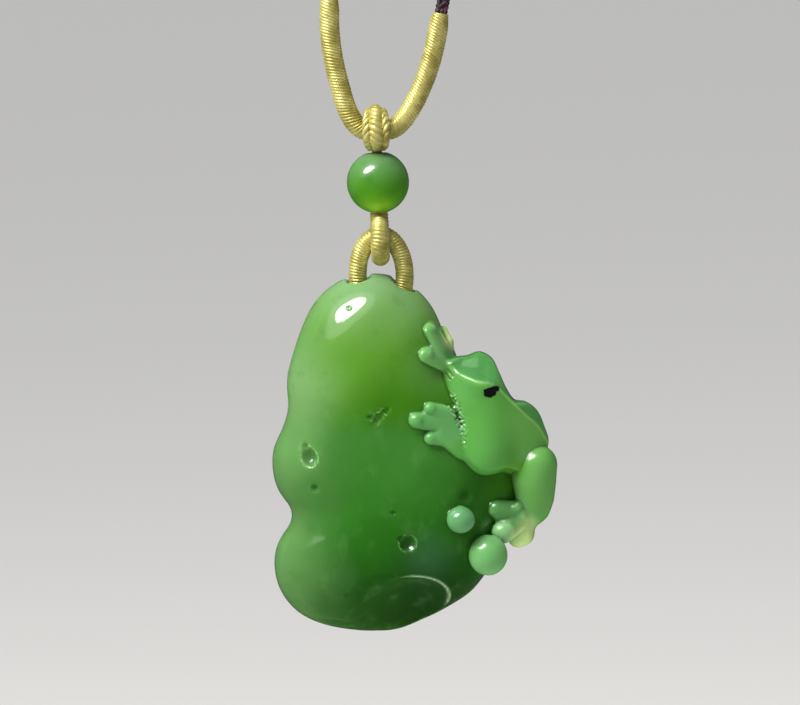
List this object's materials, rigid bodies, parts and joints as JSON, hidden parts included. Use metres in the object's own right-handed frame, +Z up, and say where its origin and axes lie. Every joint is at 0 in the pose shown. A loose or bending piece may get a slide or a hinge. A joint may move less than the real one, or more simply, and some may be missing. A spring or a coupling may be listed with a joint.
{
  "type": "jade pendant",
  "caption": "Carved jade pendant, a gourd-shaped pebble with a climbing frog, hung by thread-wrapped rings and a jade bead from a braided neck cord with a sliding knot.",
  "frame": {"origin": "top of the neck loop, at the middle of the sliding knot, where a hook or a neck holds the necklace up", "axes": "+Z up against gravity with the pendant hanging below, front of the carving towards -Y, frog on the +X side"},
  "size_m": [0.0319, 0.0148, 0.0916],
  "materials": {
    "jade": "polished",
    "bead_jade": "polished",
    "gold_thread": "satin",
    "core_thread": "matte",
    "dark_cord": "matte"
  },
  "bodies": {
    "necklace": {"sleeve_core": "dark_cord", "sleeve_wrap": "gold_thread", "strand_left": "dark_cord", "strand_right": "dark_cord", "closure_knot": "dark_cord", "tail_bead_left": "bead_jade", "tail_bead_right": "bead_jade", "tail_knot_left": "dark_cord", "tail_knot_right": "dark_cord"},
    "bail": {"link_core": "core_thread", "bail_wrap": "gold_thread", "bail_braid_left": "gold_thread", "bail_braid_right": "gold_thread", "upper_ring_wrap": "gold_thread"},
    "bead": {"jade_bead": "bead_jade"},
    "lower_ring": {"lower_ring_core": "core_thread", "lower_ring_wrap": "gold_thread"},
    "pendant": {"jade_carving": "jade"}
  },
  "joints": [
    {"name": "bail_swing", "type": "hinge", "parent": "necklace", "child": "bail", "pos_m": [0, 0, -0.0348], "axis": [1, 0, 0], "range_deg": [-60, 60]},
    {"name": "bead_spin", "type": "hinge", "parent": "bail", "child": "bead", "pos_m": [-0.0001, 0, -0.04055], "axis": [0, 0, 1], "continuous": true},
    {"name": "ring_sway", "type": "hinge", "parent": "bail", "child": "lower_ring", "pos_m": [-0.0001, 0, -0.04895], "axis": [0, 1, 0], "range_deg": [-50, 50]},
    {"name": "pendant_rock", "type": "hinge", "parent": "lower_ring", "child": "pendant", "pos_m": [-0.0001, 0, -0.0554], "axis": [1, 0, 0], "range_deg": [-12, 12]}
  ]
}
